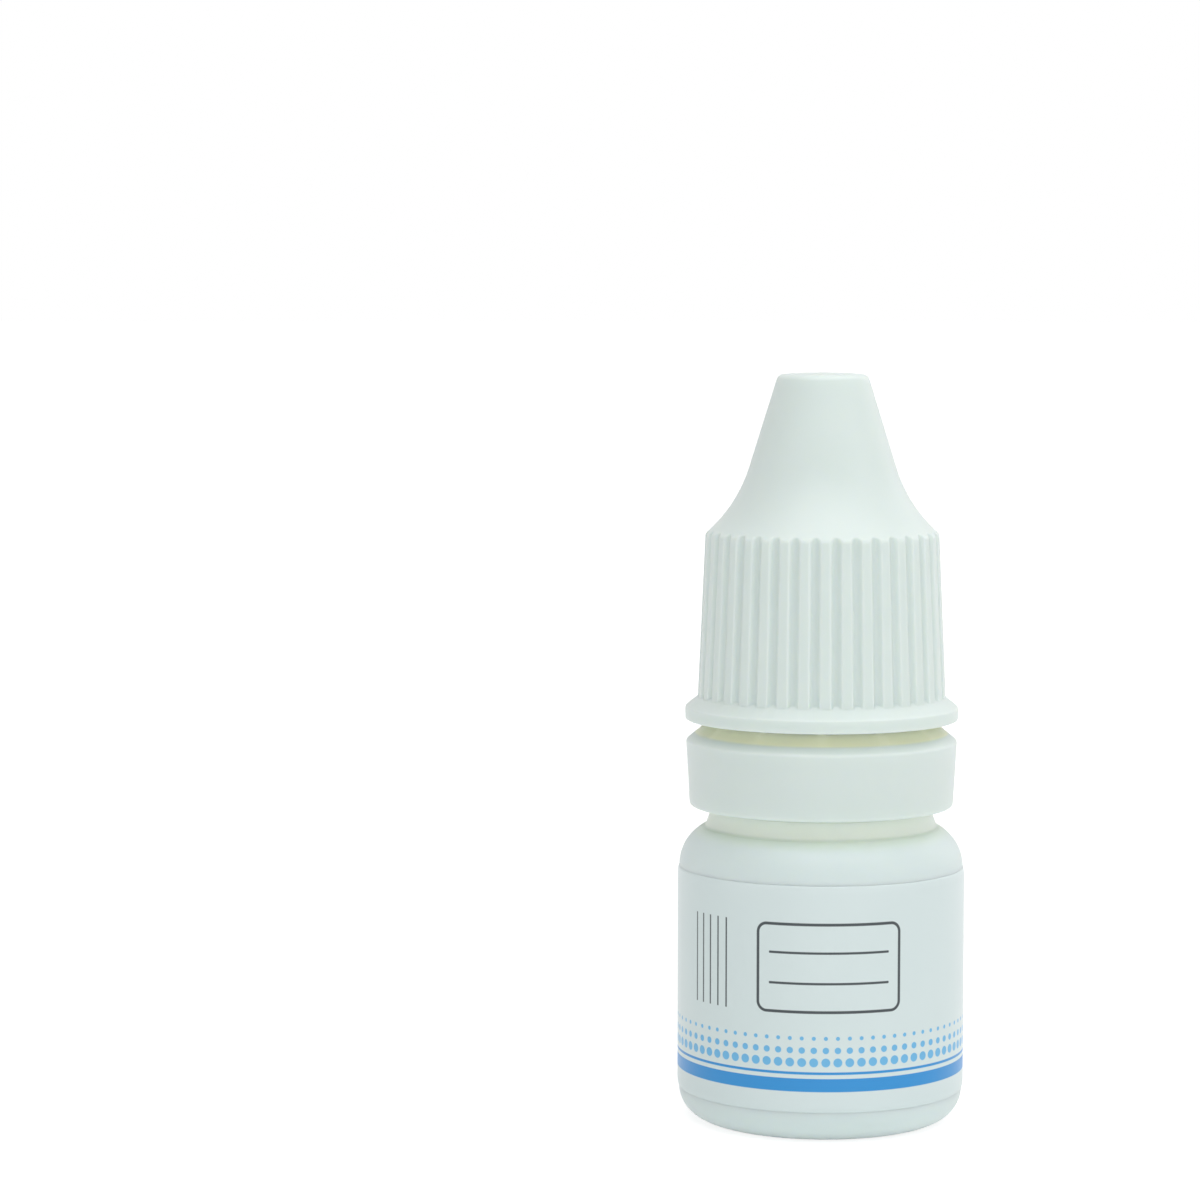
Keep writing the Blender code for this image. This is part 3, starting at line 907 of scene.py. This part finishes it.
@dataclass(frozen=True)
class TamperRing:
    """The band that stays on the neck when the cap is first turned."""

    radius: float = 10.37 * MM
    height: float = 5.2 * MM
    wall: float = 1.0 * MM
    draft: float = math.radians(2.9)
    edge: float = 0.3 * MM
    lip_radius: float = 7.71 * MM
    lip_height: float = 0.8 * MM
    lip_ramp: float = 0.3 * MM
    web_radius: float = 8.56 * MM
    web_angle: float = math.radians(39)
    web_thickness: float = 0.8 * MM
    bridge_count: int = 12
    bridge_width: float = 0.5 * MM
    bridge_depth: float = 0.2 * MM
    bridge_height: float = 0.03 * MM
    bridge_flank: float = 0.06 * MM
    steps: int = 288

    def web_height(self, radius: float) -> float:
        """Find the height of the web's top.

        Args:
            radius: Where on the web.

        Returns:
            Its height over the ring's lower edge.
        """
        foot_radius = self.radius - self.edge + self.edge * math.sin(self.web_angle)
        foot = self.height - self.edge + self.edge * math.cos(self.web_angle)
        return foot + (foot_radius - radius) * math.tan(self.web_angle)

    def outline(self) -> list[Point]:
        """Draw the ring, with its lower edge at height 0.

        Returns:
            Its outline, over the web and band, and back inside by the snap lip.
        """
        foot_radius = self.radius - self.height * math.tan(self.draft)
        bore = foot_radius - self.wall
        reaches = (0, self.bridge_depth, self.bridge_depth + self.bridge_flank)
        points = [(self.web_radius + reach, self.web_height(self.web_radius + reach))
                  for reach in reaches]
        points += round_arc((self.radius - self.edge, self.height - self.edge), self.edge,
                            QUARTER - self.web_angle, -self.draft, 6)
        points += round_arc((foot_radius - self.edge, self.edge), self.edge, -self.draft,
                            -QUARTER, 7)
        points += [(self.lip_radius, 0), (self.lip_radius, self.lip_height),
                   (bore, self.lip_height + self.lip_ramp),
                   (bore, self.web_height(bore) - self.web_thickness),
                   (self.web_radius, self.web_height(self.web_radius) - self.web_thickness)]
        return points

    def raise_bridges(self, verts: Sequence[bmesh.types.BMVert]) -> None:
        """Raise the stumps of the thin bridges on the web's inner edge, flat where they break.

        Args:
            verts: The ring's vertices.
        """
        top = self.web_height(self.web_radius) + self.bridge_height
        pitch = math.tau / self.bridge_count
        for vert in verts:
            radius = math.hypot(vert.co.x, vert.co.y)
            turn = math.atan2(vert.co.y, vert.co.x)
            turn -= pitch * round(turn / pitch)
            on_web = vert.co.z > self.web_height(radius) - self.web_thickness / 2
            if (on_web and abs(turn) * radius < self.bridge_width / 2
                    and radius < self.web_radius + self.bridge_depth + WELD):
                vert.co.z = top

    def build(self) -> None:
        """Make the ring and dress it."""
        shape = turned(self.outline(), self.steps, closed=True)
        self.raise_bridges(shape.verts)
        ring = into_place(shape, "tamper_evident_ring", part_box("tamper_ring")[0].z,
                          RING_HDPE.material())
        seat(ring, Body.RING, Slot.CAP, "tamper_ring")


@dataclass(frozen=True)
class ScrewCap:
    """The conical cap: crown, cone, flare, fluted skirt and flange, with its thread and seal."""

    neck: Neck
    height: float = 26.5 * MM
    crown_rise: float = 0.1 * MM
    crown_radius: float = 3.41 * MM
    crown_round: float = 0.6 * MM
    gate_radius: float = 0.55 * MM
    gate_floor: float = 0.44 * MM
    gate_depth: float = 0.06 * MM
    cone_angle: float = math.radians(17.2)
    flare_radius: float = 11.0 * MM
    flare_angle: float = math.radians(48)
    flare_fine: float = math.radians(6)
    skirt_corner: float = 0.57 * MM
    skirt_wall: float = 1.04 * MM
    skirt_draft: float = math.radians(2.55)
    run_in: float = 0.5 * MM
    run_out: float = 1.1 * MM
    overhang: float = 0.88 * MM
    flange_height: float = 1.05 * MM
    flange_taper: float = 0.1 * MM
    flange_slope: float = math.radians(38)
    flange_edge: float = 0.15 * MM
    flange_turn: float = math.radians(40)
    rib_count: int = 36
    rib_phase: float = math.radians(-3.2)
    groove_radius: float = 0.42 * MM
    groove_depth: float = 0.3 * MM
    groove_over: float = 2.0 * MM
    blend: float = 0.08 * MM
    cone_wall: float = 1.2 * MM
    mouth_step: float = 0.3 * MM
    mouth_depth: float = 0.6 * MM
    seat_width: float = 2.1 * MM
    seat_height: float = 9.5 * MM
    pin_radius: float = 0.9 * MM
    pin_end: float = 20.2 * MM
    pin_end_radius: float = 0.6 * MM
    thread_depth: float = 0.35 * MM
    thread_foot: float = 1.1 * MM
    thread_crest: float = 0.4 * MM
    thread_bottom: float = 2.0 * MM
    thread_fade: float = math.radians(40)
    columns: int = 16

    @property
    def bore(self) -> float:
        """Radius of the bore that goes over the neck."""
        return self.neck.radius + self.neck.thread_room

    @property
    def crown_edge(self) -> float:
        """Height at which the crown's dome starts."""
        return self.height - self.crown_rise

    @property
    def skirt_radius(self) -> float:
        """Radius of the skirt's wall at its top."""
        return self.bore + self.skirt_wall

    @property
    def cone_foot(self) -> Point:
        """Where the cone meets the flare.

        Returns:
            Its radius and height.
        """
        corner_reach = self.skirt_corner * (math.cos(self.skirt_draft) - math.cos(self.flare_angle))
        flare_reach = self.flare_radius * (math.cos(self.cone_angle) - math.cos(self.flare_angle))
        radius = self.skirt_radius - corner_reach - flare_reach
        return radius, self.crown_edge - (radius - self.crown_radius) / math.tan(self.cone_angle)

    @property
    def skirt_top(self) -> float:
        """Where the corner over the skirt ends.

        Returns:
            Its height.
        """
        corner_fall = self.skirt_corner * (math.sin(self.flare_angle) - math.sin(self.skirt_draft))
        flare_fall = self.flare_radius * (math.sin(self.flare_angle) - math.sin(self.cone_angle))
        return self.cone_foot[1] - flare_fall - corner_fall

    @property
    def flange_radius(self) -> float:
        """Radius of the flange's rim."""
        return self.wall_at(0) + self.overhang

    def wall_at(self, height: float) -> float:
        """Radius of the skirt's tapered wall at a height."""
        return self.skirt_radius + (self.skirt_top - height) * math.tan(self.skirt_draft)

    def slope_at(self, height: float) -> float:
        """Radius of the flange's sloped top at a height, also where it runs on under the ribs."""
        top = self.flange_radius - self.flange_taper
        return top - (height - self.flange_height) / math.tan(self.flange_slope)

    def outside(self) -> list[Point]:
        """Draw the outside, close where the grooves run in and out.

        Returns:
            Its outline, from the crown's middle down to the flange's lower edge.
        """
        points = [(radius, self.height - self.gate_depth) for radius in (0, self.gate_floor)]
        inner = self.crown_round * (1 - math.sin(self.cone_angle)) / math.cos(self.cone_angle)
        crown = dome(self.crown_radius - inner, self.crown_rise, self.crown_edge, 24)[::-1]
        points += [point for point in crown if point[0] > self.gate_radius]
        points += round_arc((self.crown_radius - inner, self.crown_edge - self.crown_round),
                            self.crown_round, QUARTER, self.cone_angle, 9)
        foot_radius, foot = self.cone_foot
        points += along(points[-1], (foot_radius, foot), 8)
        flare = (foot_radius + self.flare_radius * math.cos(self.cone_angle),
                 foot + self.flare_radius * math.sin(self.cone_angle))
        turns = (self.cone_angle, self.flare_angle - self.flare_fine, self.flare_angle)
        for start, end, steps in zip(turns, turns[1:], (18, 15)):
            points += round_arc(flare, self.flare_radius, math.pi + start, math.pi + end, steps)
        corner = (self.skirt_radius - self.skirt_corner * math.cos(self.skirt_draft),
                  self.skirt_top - self.skirt_corner * math.sin(self.skirt_draft))
        points += round_arc(corner, self.skirt_corner, self.flare_angle, self.skirt_draft, 8)
        levels = (self.skirt_top, self.skirt_top - self.run_in, self.flange_height + self.run_out,
                  self.flange_height)
        for high, low, steps in zip(levels, levels[1:], (5, 14, 20)):
            heights = [high + (low - high) * step / steps for step in range(1, steps + 1)]
            points += [(max(self.wall_at(height), self.slope_at(height)), height)
                       for height in heights]
        rim = self.flange_radius - self.flange_edge
        points += round_arc((rim, self.flange_height - self.flange_edge), self.flange_edge,
                            self.flange_turn, 0, 3)
        return points + round_arc((rim, self.flange_edge), self.flange_edge, 0, -QUARTER, 5)

    def inside(self) -> list[Point]:
        """Draw the inside.

        Returns:
            Its outline, from the mouth up the bore, seat and hollow cone to the end of the pin.
        """
        side_wall = self.cone_wall / math.cos(self.cone_angle)
        ceiling = self.crown_edge - self.cone_wall
        ceiling_radius = self.crown_radius + self.cone_wall * math.tan(self.cone_angle) - side_wall
        cavity = self.bore - self.seat_width
        hollow = self.crown_edge - (cavity + side_wall - self.crown_radius) / math.tan(
            self.cone_angle)
        mouth = self.bore + self.mouth_step
        step = (self.bore, self.mouth_depth + self.mouth_step)
        points = [(self.flange_radius - self.flange_edge, 0), (mouth, 0), (mouth, self.mouth_depth)]
        points += along(step, (self.bore, self.seat_height), 4)
        points += [(cavity, self.seat_height), (cavity, hollow), (ceiling_radius, ceiling),
                   (self.pin_radius, ceiling)]
        return points + round_arc((0, self.pin_end + self.pin_end_radius), self.pin_end_radius,
                                  0, -QUARTER, 6)

    def flute(self, radius: float, height: float, turn: float) -> float:
        """Radius of the fluted surface, with the groove let in and its foot on the flange.

        Args:
            radius: Radius of the plain surface.
            height: Height over the cap's lower face.
            turn: Angle from the nearest groove's middle.

        Returns:
            The radius after the groove is cut.
        """
        across = radius * math.sin(turn)
        if abs(across) < self.groove_radius:
            depth = math.sqrt(self.groove_radius ** 2 - across ** 2)
            floor = self.wall_at(height) - self.groove_depth + self.groove_radius - depth
            share = max(self.blend - abs(floor - radius), 0) / self.blend
            radius = min(floor, radius) - share * share * self.blend / 4
        slope = self.slope_at(height)
        share = max(self.blend - abs(slope - radius), 0) / self.blend
        return max(slope, radius) + share * share * self.blend / 4

    def cut_flutes(self, verts: Sequence[bmesh.types.BMVert]) -> None:
        """Let the grooves into the skirt, from the flare down to the flange.

        Args:
            verts: The vertices of the cap's outside.
        """
        pitch = math.tau / self.rib_count
        for vert in verts:
            if not self.flange_height < vert.co.z < self.skirt_top + self.groove_over:
                continue
            radius = math.hypot(vert.co.x, vert.co.y)
            turn = math.atan2(vert.co.y, vert.co.x)
            turn -= pitch * round(turn / pitch)
            scale = self.flute(radius, vert.co.z, turn) / radius
            vert.co.x *= scale
            vert.co.y *= scale

    def build(self) -> None:
        """Make the cap and its thread, and dress them."""
        finish = MOULDED_HDPE.material()
        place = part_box("screw_cap")[0].z
        pitch = math.tau / self.rib_count
        shape = bmesh.new()
        self.cut_flutes(spin_outline(shape, self.outside(), self.columns, pitch, start=-pitch / 2))
        spin_outline(shape, self.inside(), self.columns, pitch, start=-pitch / 2)
        copy_round(shape, self.rib_count)
        bmesh.ops.rotate(shape, verts=shape.verts, cent=(0, 0, 0),
                         matrix=Matrix.Rotation(FRONT + self.rib_phase, 3, "Z"))
        cap = into_place(shape, "fluted_screw_cap", place, finish, crease=55.0)
        seat(cap, Body.CAP, Slot.CAP, "screw_cap")
        thread = Thread(self.bore, self.bore - self.thread_depth, self.thread_foot,
                        self.thread_crest, self.thread_bottom, self.thread_fade)
        seat(into_place(thread.mesh(), "cap_thread", place, finish), Body.CAP, Slot.CAP)


@dataclass(frozen=True)
class WrapLabel:
    """The printed film round the straight wall, with its two ends apart at the back."""

    inner_radius: float = 10.885 * MM
    thickness: float = 0.115 * MM
    edge: float = 0.6 * MM
    wrap: float = math.radians(337.5)
    steps: int = 270

    def build(self) -> None:
        """Make the label and dress it."""
        low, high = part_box("wrap_label")
        outer = self.inner_radius + self.thickness
        pressed = (self.thickness, self.edge)
        outline = arc((self.inner_radius, high.z - self.edge), pressed, QUARTER, 0, 4)
        outline += along(outline[-1], (outer, low.z + self.edge), 8)
        outline += arc((self.inner_radius, low.z + self.edge), pressed, 0, -QUARTER, 4)
        shape = bmesh.new()
        spin_outline(shape, outline, self.steps, self.wrap, closed=True,
                     start=BACK + (math.tau - self.wrap) / 2)
        close_ends(shape)
        label = into_place(shape, "printed_wrap_label", 0, LABEL_FILM.material())
        seat(label, Body.BOTTLE, Slot.LABEL, "wrap_label")


@dataclass(frozen=True)
class Lamp:
    """A softbox.

    Attributes:
        name: Its name.
        size: Its width and height.
        place: Where it stands.
        power: Its power in watts.
        aim: What it points at.
    """

    name: str
    size: Point
    place: tuple[float, float, float]
    power: float
    aim: tuple[float, float, float] = (0.0, 0.0, 30 * MM)

    def build(self) -> None:
        """Make the lamp."""
        data = bpy.data.lights.new(self.name, "AREA")
        data.shape = "RECTANGLE"
        data.size, data.size_y = self.size
        data.energy = self.power
        item = bpy.data.objects.new(self.name, data)
        item.location = self.place
        item.rotation_mode = "QUATERNION"
        item.rotation_quaternion = (Vector(self.aim) - Vector(self.place)).to_track_quat("-Z", "Y")
        bpy.context.scene.collection.objects.link(item)


@dataclass(frozen=True)
class Studio:
    """The pale floor, white surround, soft lamps and the camera.

    Attributes:
        distance: How far the camera stands in front of the bottle.
        eye_height: Height of the camera.
        yaw: How far it turns to its left.
        pitch: How far it looks down.
        lens: Its focal length, for a sensor of 36 mm.
        sky: Strength of the surround.
        floor_size: Half the floor's width.
        floor_grain: Size of the grain in its paint.
        floor_glow: Strength of its own faint light.
        floor_shade: Share of the light that the floor shows the camera, as shadow is a lack of it.
        floor_lift: What brings that up to white, near the bottle and far from it.
        lift_reach: Where near ends and far begins.
        lamps: The softboxes.
    """

    distance: float = 300 * MM
    eye_height: float = 65.75 * MM
    yaw: float = math.radians(3.245)
    pitch: float = math.radians(4.92)
    lens: float = 117.9
    sky: float = 0.36
    floor_size: float = 4.0
    floor_grain: float = 3 * MM
    floor_glow: float = 0.06
    floor_shade: float = 0.45
    floor_lift: Point = (0.78, 1.0)
    lift_reach: Point = (80 * MM, 250 * MM)
    lamps: tuple[Lamp, ...] = (
        Lamp("softbox_over", (0.6, 0.5), (0.05, -0.10, 0.50), 1.70),
        Lamp("softbox_right", (0.4, 0.5), (0.55, -0.30, 0.20), 0.40),
        Lamp("softbox_left", (0.3, 0.15), (-0.50, -0.25, 0.08), 0.14),
        Lamp("softbox_low", (0.8, 0.1), (0.1, -0.60, 0.04), 0.56, (0.0, 0.0, 20 * MM)),
        Lamp("softbox_behind", (0.4, 0.5), (0.40, 0.35, 0.30), 0.32),
    )

    def build(self) -> None:
        """Make the whole studio."""
        self.build_camera()
        self.build_floor()
        self.build_surround()
        for lamp in self.lamps:
            lamp.build()
        bpy.context.scene.view_settings.view_transform = "Standard"

    def build_camera(self) -> None:
        """Stand the camera in front of the bottle, a little above it."""
        data = bpy.data.cameras.new("camera")
        data.lens = self.lens
        data.sensor_width = 36.0
        data.clip_start, data.clip_end = 0.01, 20.0
        camera = bpy.data.objects.new("camera", data)
        turn = Matrix.Rotation(self.yaw, 4, "Z") @ Matrix.Rotation(QUARTER - self.pitch, 4, "X")
        camera.matrix_world = Matrix.Translation((0, -self.distance, self.eye_height)) @ turn
        bpy.context.scene.collection.objects.link(camera)
        bpy.context.scene.camera = camera

    def build_floor(self) -> None:
        """Lay a pale floor that looks white to the camera but keeps the bottle's shadow."""
        shape = bmesh.new()
        bmesh.ops.create_grid(shape, x_segments=1, y_segments=1, size=self.floor_size)
        into_place(shape, "pale_floor", 0, self.floor_finish())

    def floor_finish(self) -> bpy.types.Material:
        """Make the floor of a light table, whose faint glow reaches under the ring and the base.

        Returns:
            A diffuse white, lifted to white where the camera, a gloss or a glass sees it.
        """
        made = bpy.data.materials.new("matt_white_light_table")
        made.cycles.emission_sampling = "NONE"
        made.use_nodes = True
        tree = made.node_tree
        tree.nodes.clear()
        place = add_node(tree, "TexCoord").outputs["Object"]
        grain = add_node(tree, "TexNoise", {"Vector": place, "Scale": 1 / self.floor_grain})
        paint = add_node(tree, "Mix", {"Factor": grain, "A": linear("f0f3f2"),
                                       "B": linear("f3f5f4")}, data_type="RGBA")
        matt = add_node(tree, "BsdfDiffuse", {"Color": paint})
        glow = add_node(tree, "Emission", {"Strength": self.floor_glow})
        plain = add_node(tree, "AddShader", {0: matt, 1: glow})
        shaded = add_node(tree, "BsdfDiffuse", {"Color": (self.floor_shade,) * 3 + (1.0,)})
        away = add_node(tree, "VectorMath", {0: place}, operation="LENGTH")
        near, far = self.lift_reach
        strength = add_node(
            tree, "MapRange", {"Value": away, "From Min": near, "From Max": far,
                               "To Min": self.floor_lift[0], "To Max": self.floor_lift[1]},
            interpolation_type="SMOOTHSTEP")
        lift = add_node(tree, "Emission", {"Strength": strength})
        lifted = add_node(tree, "AddShader", {0: shaded, 1: lift})
        mixed = add_node(tree, "MixShader", {0: self.seen_share(tree), 1: plain, 2: lifted})
        add_node(tree, "OutputMaterial", {"Surface": mixed})
        return made

    @staticmethod
    def seen_share(tree: Tree) -> Node:
        """Tell the rays that see the background from those that light the bottle.

        Args:
            tree: The tree that gets the nodes.

        Returns:
            1 where a ray comes from the camera, a gloss or a glass, and otherwise 0.
        """
        path = add_node(tree, "LightPath").outputs
        gloss = add_node(tree, "Math", {0: path["Is Glossy Ray"], 1: path["Is Transmission Ray"]},
                         operation="MAXIMUM")
        return add_node(tree, "Math", {0: path["Is Camera Ray"], 1: gloss}, operation="MAXIMUM")

    def build_surround(self) -> None:
        """Surround the bottle with soft white, dimmer than the white that the camera sees."""
        world = bpy.data.worlds.new("white_surround")
        world.use_nodes = True
        tree = world.node_tree
        tree.nodes.clear()
        soft, seen = (
            add_node(tree, "Background", {"Color": linear("ffffff"), "Strength": strength})
            for strength in (self.sky, 1.0))
        mixed = add_node(tree, "MixShader", {0: self.seen_share(tree), 1: soft, 2: seen})
        add_node(tree, "OutputWorld", {"Surface": mixed})
        bpy.context.scene.world = world


def main() -> None:
    """Build the studio and then the bottle, from the inside out."""
    logging.basicConfig(level=logging.INFO, format="%(name)s: %(message)s")
    neck = Neck()
    Studio().build()
    SqueezeBottle(neck).build()
    DropperNozzle(neck).build()
    TamperRing().build()
    ScrewCap(neck).build()
    WrapLabel().build()


if __name__ == "__main__":
    main()
